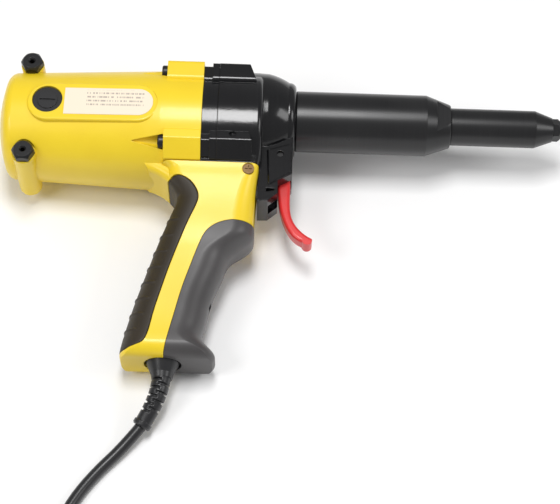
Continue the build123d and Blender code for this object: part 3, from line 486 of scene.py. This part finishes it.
reliefSettings = {
    "route": ((-63.45, -101.0, 16.5), (-63.8, -107.8, 16.2), (-65.6, -115.5, 14.4), (-69.0, -123.1, 11.2),
              (-73.9, -131.2, 8.0)),
    "start": 5.6,
    "end": 4.7,
    "core": 3.9,  # radius at the bottom of the slots
    "collar": 5.4,
    "collarLength": 3.2,
    "collarEdge": 0.5,
    "endRound": 0.7,
    "endFrom": 0.4,
    "endWidth": 0.9,
    "slotFrom": 5.5,
    "slotStep": 2.35,
    "slotWidth": 1.25,
    "slotEdge": 0.3,
    "slotTurn": -0.12,  # how far round each slot goes, as the cosine where it ends
    "slotTurnEdge": 0.22,
    "slots": 9,
    "around": 72,
    "along": 190,
    "sharp": 50,
}


def resample(line, count):
    lengths = [0.0]
    for a, b in zip(line, line[1:]):
        lengths.append(lengths[-1] + (b - a).length)
    places = []
    run = 0
    for index in range(count):
        at = lengths[-1] * index / (count - 1)
        while run < len(line) - 2 and lengths[run + 1] < at:
            run += 1
        share = (at - lengths[run]) / (lengths[run + 1] - lengths[run])
        places.append(line[run].lerp(line[run + 1], share))
    return places, lengths[-1]


def step(edge, width, value):
    # 0 below the edge and 1 above it, with a soft passage of the given width
    share = min(max((value - edge) / width + 0.5, 0), 1)
    return share * share * (3 - 2 * share)


def reliefRadius(s, at, length, angle):
    radius = s["start"] + (s["end"] - s["start"]) * at / length
    radius += (s["collar"] - radius) * step(length - s["collarLength"], s["collarEdge"], at)
    radius -= s["endRound"] * step(length - s["endFrom"], s["endWidth"], at)
    for index in range(s["slots"]):
        middle = s["slotFrom"] + s["slotStep"] * index
        inSlot = 1 - step(s["slotWidth"] / 2, s["slotEdge"], abs(at - middle))
        if inSlot > 0:
            side = 1 if index % 2 else -1
            inSlot *= step(s["slotTurn"], s["slotTurnEdge"], side * math.cos(angle))
            radius -= (radius - s["core"]) * inSlot
    return radius


def sweptTube(name, line, count, around, radiusAt):
    # a tube along a line, its radius given by the distance along it and the angle round it
    places, length = resample(line, count)
    side = Vector((1, 0, 0))
    verts, faces = [], []
    for ring, place in enumerate(places):
        way = (places[min(ring + 1, count - 1)] - places[max(ring - 1, 0)]).normalized()
        side = (side - way * side.dot(way)).normalized()
        up = way.cross(side)
        at = length * ring / (count - 1) / toMetres
        for spoke in range(around):
            angle = 2 * math.pi * spoke / around
            radius = radiusAt(at, length / toMetres, angle) * toMetres
            verts.append(place + side * (radius * math.cos(angle)) + up * (radius * math.sin(angle)))
    for ring in range(count - 1):
        for spoke in range(around):
            here, beside = ring * around + spoke, ring * around + (spoke + 1) % around
            faces.append((here, beside, beside + around, here + around))
    faces.append(tuple(range(around))[::-1])
    faces.append(tuple(range((count - 1) * around, count * around)))
    mesh = bpy.data.meshes.new(name)
    mesh.from_pydata(verts, [], faces)
    mesh.validate()
    return mesh


def addRelief(s):
    mesh = sweptTube("strainRelief", routeLine(s["route"]), s["along"], s["around"],
                     lambda at, length, angle: reliefRadius(s, at, length, angle))
    mesh.shade_smooth()
    mesh.set_sharp_from_angle(angle=math.radians(s["sharp"]))
    relief = addPiece("strainRelief", mesh, finishes["black_plastic"])
    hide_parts("strain_relief")


addRelief(reliefSettings)
addCord(cordSettings)
print("lead and strain relief made")


padSettings = {
    "voxel": 0.00055,
    "smoothing": 3,
    "barFrom": 91.9,  # along the grip from the pull line
    "barStep": 10.43,
    "bars": 8,
    "barWidth": 1.0,
    "barEdge": 0.9,
    "barHeight": 0.4,
    "recess": 0.15,
    "edgeAt": -37.0,  # across the grip, where the patterned zone ends
    "zoneEdge": 1.2,
    "above": 3.2,  # the patterned zone past the first and the last bar
    "below": 3.6,
    "middleAt": -30,  # across the grip, inside the handle
    "outward": 0.25,  # cosine above which a face belongs to the outer skin
    "fill": 0.9,
    "gripWay": (-0.2658, 0, -0.9641),
    "acrossWay": (0.9641, 0, -0.2658),
}


def padHeight(s, along, across):
    # how far the rubber stands out at a place, for bars in a shallow recess
    edge = s["zoneEdge"]
    first, last = s["barFrom"], s["barFrom"] + s["barStep"] * (s["bars"] - 1)
    zone = 1 - step(s["edgeAt"], edge, across)
    zone *= step(first - s["above"], edge, along) * (1 - step(last + s["below"], edge, along))
    near = abs((along - first + s["barStep"] / 2) % s["barStep"] - s["barStep"] / 2)
    bar = 1 - step(s["barWidth"] / 2, s["barEdge"], near)
    return zone * (bar * (s["recess"] + s["barHeight"]) - s["recess"])


def addPad(s):
    source = nodes["rear_grip_pad"]
    working = bpy.data.objects.new("gripPad", source.data.copy())
    bpy.context.scene.collection.objects.link(working)
    remesh = working.modifiers.new("remesh", "REMESH")
    remesh.mode = "VOXEL"
    remesh.voxel_size = s["voxel"]
    even = working.modifiers.new("even", "SMOOTH")
    even.iterations = s["smoothing"]
    mesh = evaluated(working)
    bpy.data.objects.remove(working)
    gripWay, acrossWay = Vector(s["gripWay"]), Vector(s["acrossWay"])
    normals = [v.normal.copy() for v in mesh.vertices]
    turn = toTool.to_3x3()
    for vertex, normal in zip(mesh.vertices, normals):
        place = toTool @ vertex.co
        facing = (turn @ normal).normalized()
        outward = place - (acrossWay * s["middleAt"] + gripWay * place.dot(gripWay))
        if facing.dot(outward.normalized()) > s["outward"]:
            vertex.co += normal * (padHeight(s, place.dot(gripWay), place.dot(acrossWay)) * toMetres)
    mesh.name = "gripPad"
    mesh.shade_smooth()
    pad = addPiece("gripPad", mesh, finishes["grip_rubber"])
    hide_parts("rear_grip_pad")


addPad(padSettings)
print("grip pad made")


studioSettings = {
    "floor": (0.97, 0.97, 0.97),
    "floorHalf": 4.0,
    "floorRough": 0.7,
    "floorSpread": 0.1,
    "floorPatches": 6,
    "world": (1.0, 1.0, 1.0),
    "worldStrength": 0.34,
    # name: place, target, width, height, power
    "lights": {
        "topSoftbox": ((-0.05, 0.0, 1.3), (0, 0, 0), 0.5, 0.3, 9.0),
        "frontSoftbox": ((-0.75, -0.45, 0.95), (0, 0, 0), 0.5, 0.4, 3.6),
        "sideSoftbox": ((0.95, -0.1, 0.75), (0, 0, 0), 0.4, 0.5, 2.8),
    },
}


def addStudio(s):
    scene = bpy.context.scene
    scene.view_settings.view_transform = "Standard"
    world = bpy.data.worlds.new("studio")
    world.use_nodes = True
    background = world.node_tree.nodes["Background"]
    background.inputs["Color"].default_value = (*s["world"], 1)
    background.inputs["Strength"].default_value = s["worldStrength"]
    scene.world = world
    half = s["floorHalf"]
    mesh = bpy.data.meshes.new("floor")
    corners = [(-half, -half, 0), (half, -half, 0), (half, half, 0), (-half, half, 0)]
    mesh.from_pydata(corners, [], [(0, 1, 2, 3)])
    floor = bpy.data.objects.new("floor", mesh)
    scene.collection.objects.link(floor)
    paint = Finish("floorPaint", {"Base Color": s["floor"]})
    paint.rough(paint.noise(s["floorPatches"]) * s["floorSpread"] + s["floorRough"])
    mesh.materials.append(paint.material)
    for name, (place, target, width, height, power) in s["lights"].items():
        lamp = bpy.data.lights.new(name, "AREA")
        lamp.shape = "RECTANGLE"
        lamp.size = width
        lamp.size_y = height
        lamp.energy = power
        light = bpy.data.objects.new(name, lamp)
        scene.collection.objects.link(light)
        light.location = place
        light.rotation_euler = (Vector(target) - Vector(place)).to_track_quat("-Z", "Y").to_euler()


addStudio(studioSettings)
print("floor and lights made")
